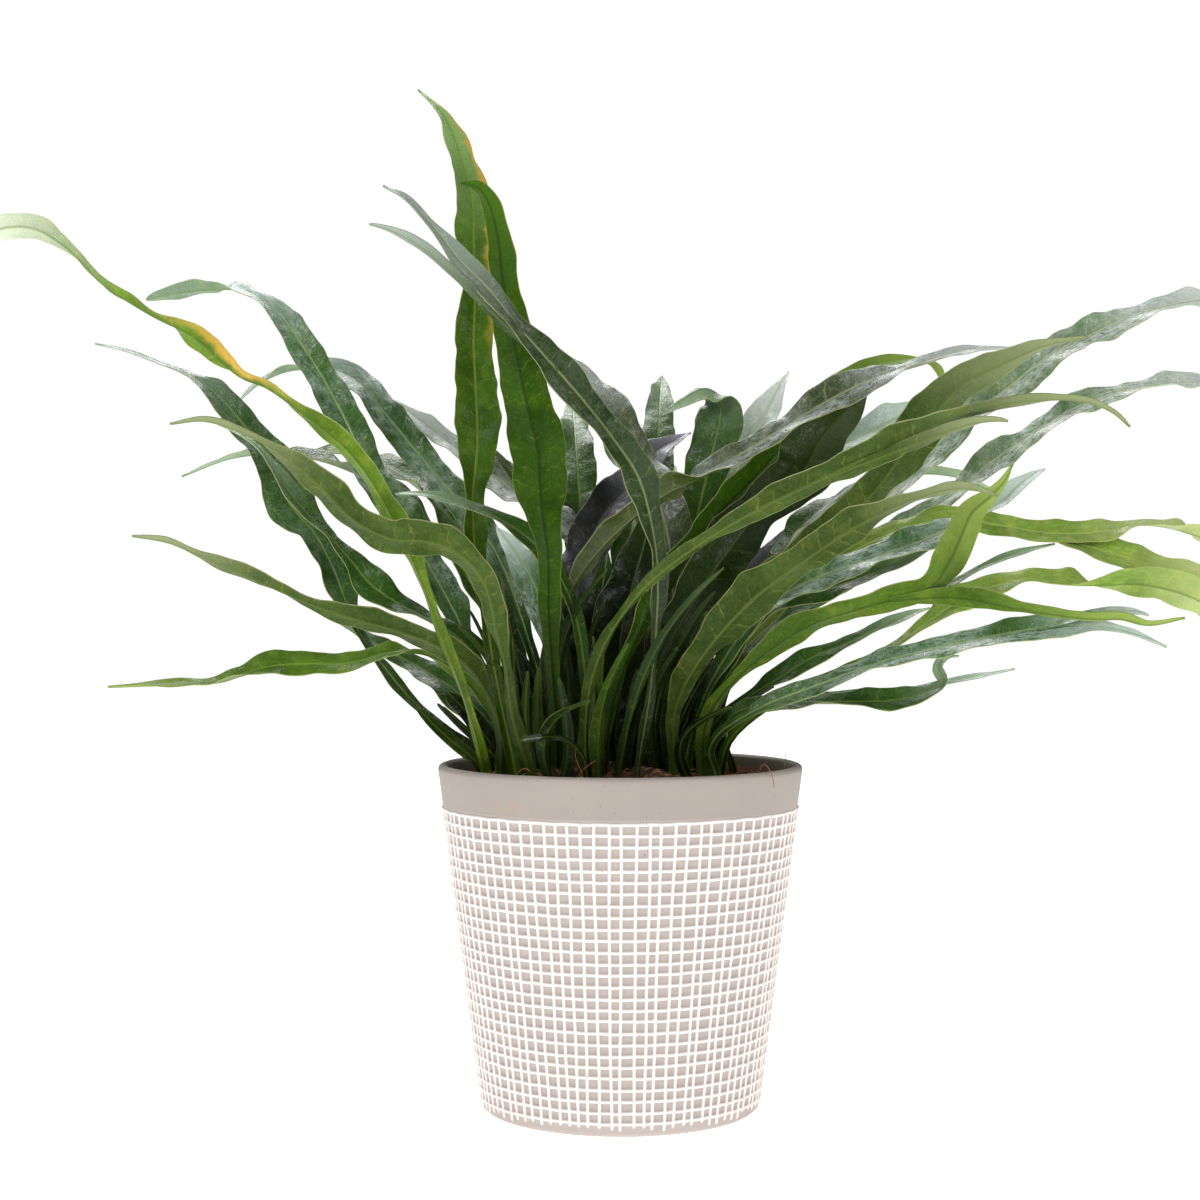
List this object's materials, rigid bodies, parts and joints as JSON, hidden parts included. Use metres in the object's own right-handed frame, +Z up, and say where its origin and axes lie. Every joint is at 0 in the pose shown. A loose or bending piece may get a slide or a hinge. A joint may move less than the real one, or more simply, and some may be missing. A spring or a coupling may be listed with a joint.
{
  "type": "potted fern",
  "caption": "Potted aglaomorpha fern: long wavy strap fronds, some forked, standing on a creeping rhizome in a soil-filled conical glazed pot with a raised net of beads",
  "frame": {"origin": "centre of the pot's flat base, on the surface that it stands on", "axes": "+Z up, +X to the right and -Y towards the viewer as the picture shows the plant"},
  "size_m": [0.5982, 0.3705, 0.4336],
  "materials": {
    "glaze": "stoneware in a warm grey glaze with a raised net of white beads",
    "soil": "dark brown peat with coir fibres",
    "rhizome": "brown and scaly",
    "leaf": "smooth leathery green blade with a pale midrib",
    "young_leaf": "smooth yellow-green young blade"
  },
  "bodies": {
    "root": {"pot": "glaze", "soil": "soil", "rhizome": "rhizome", "frond_left_long_yellow": "young_leaf", "frond_left_arch": "leaf", "frond_left_broad": "leaf", "frond_left_curved": "leaf", "frond_left_straight": "leaf", "frond_left_low": "leaf", "frond_left_twisted": "leaf", "frond_left_lower_broad": "leaf", "frond_left_glossy": "leaf", "frond_left_grey": "leaf", "frond_tall_back": "leaf", "frond_tall_front": "leaf", "frond_long_diagonal": "leaf", "frond_centre_pale": "leaf", "frond_centre_thin": "leaf", "frond_centre_mint": "leaf", "frond_centre_small": "leaf", "frond_centre_dark": "leaf", "frond_long_right": "leaf", "frond_top_folded": "leaf", "frond_top_back": "leaf", "frond_dark_broad": "leaf", "frond_lime_hook": "young_leaf", "frond_right_broad": "leaf", "frond_right_far": "leaf", "frond_front_long": "leaf", "frond_front_broad": "leaf", "frond_forked_bright": "young_leaf", "frond_bright_low": "young_leaf", "frond_bright_upper": "young_leaf", "frond_low_fork": "leaf", "frond_low_curl": "leaf", "frond_low_thin": "leaf", "frond_low_twist": "leaf", "frond_mid_blue": "leaf", "frond_mid_blue_back": "leaf", "frond_right_pale": "leaf", "frond_right_gloss": "leaf", "frond_back_purple": "leaf", "frond_small_curl": "leaf", "frond_small_front": "leaf", "frond_centre_green": "leaf", "frond_right_under": "leaf", "frond_right_thin": "leaf", "frond_centre_deep": "leaf", "frond_centre_left_deep": "leaf", "frond_left_inner": "leaf", "frond_left_foot": "leaf", "frond_rear_left_low": "leaf", "frond_rear_left": "leaf", "frond_rear_left_high": "leaf", "frond_rear_middle": "leaf", "frond_rear_middle_high": "leaf", "frond_rear_right": "leaf", "frond_rear_right_low": "leaf"}
  },
  "joints": []
}
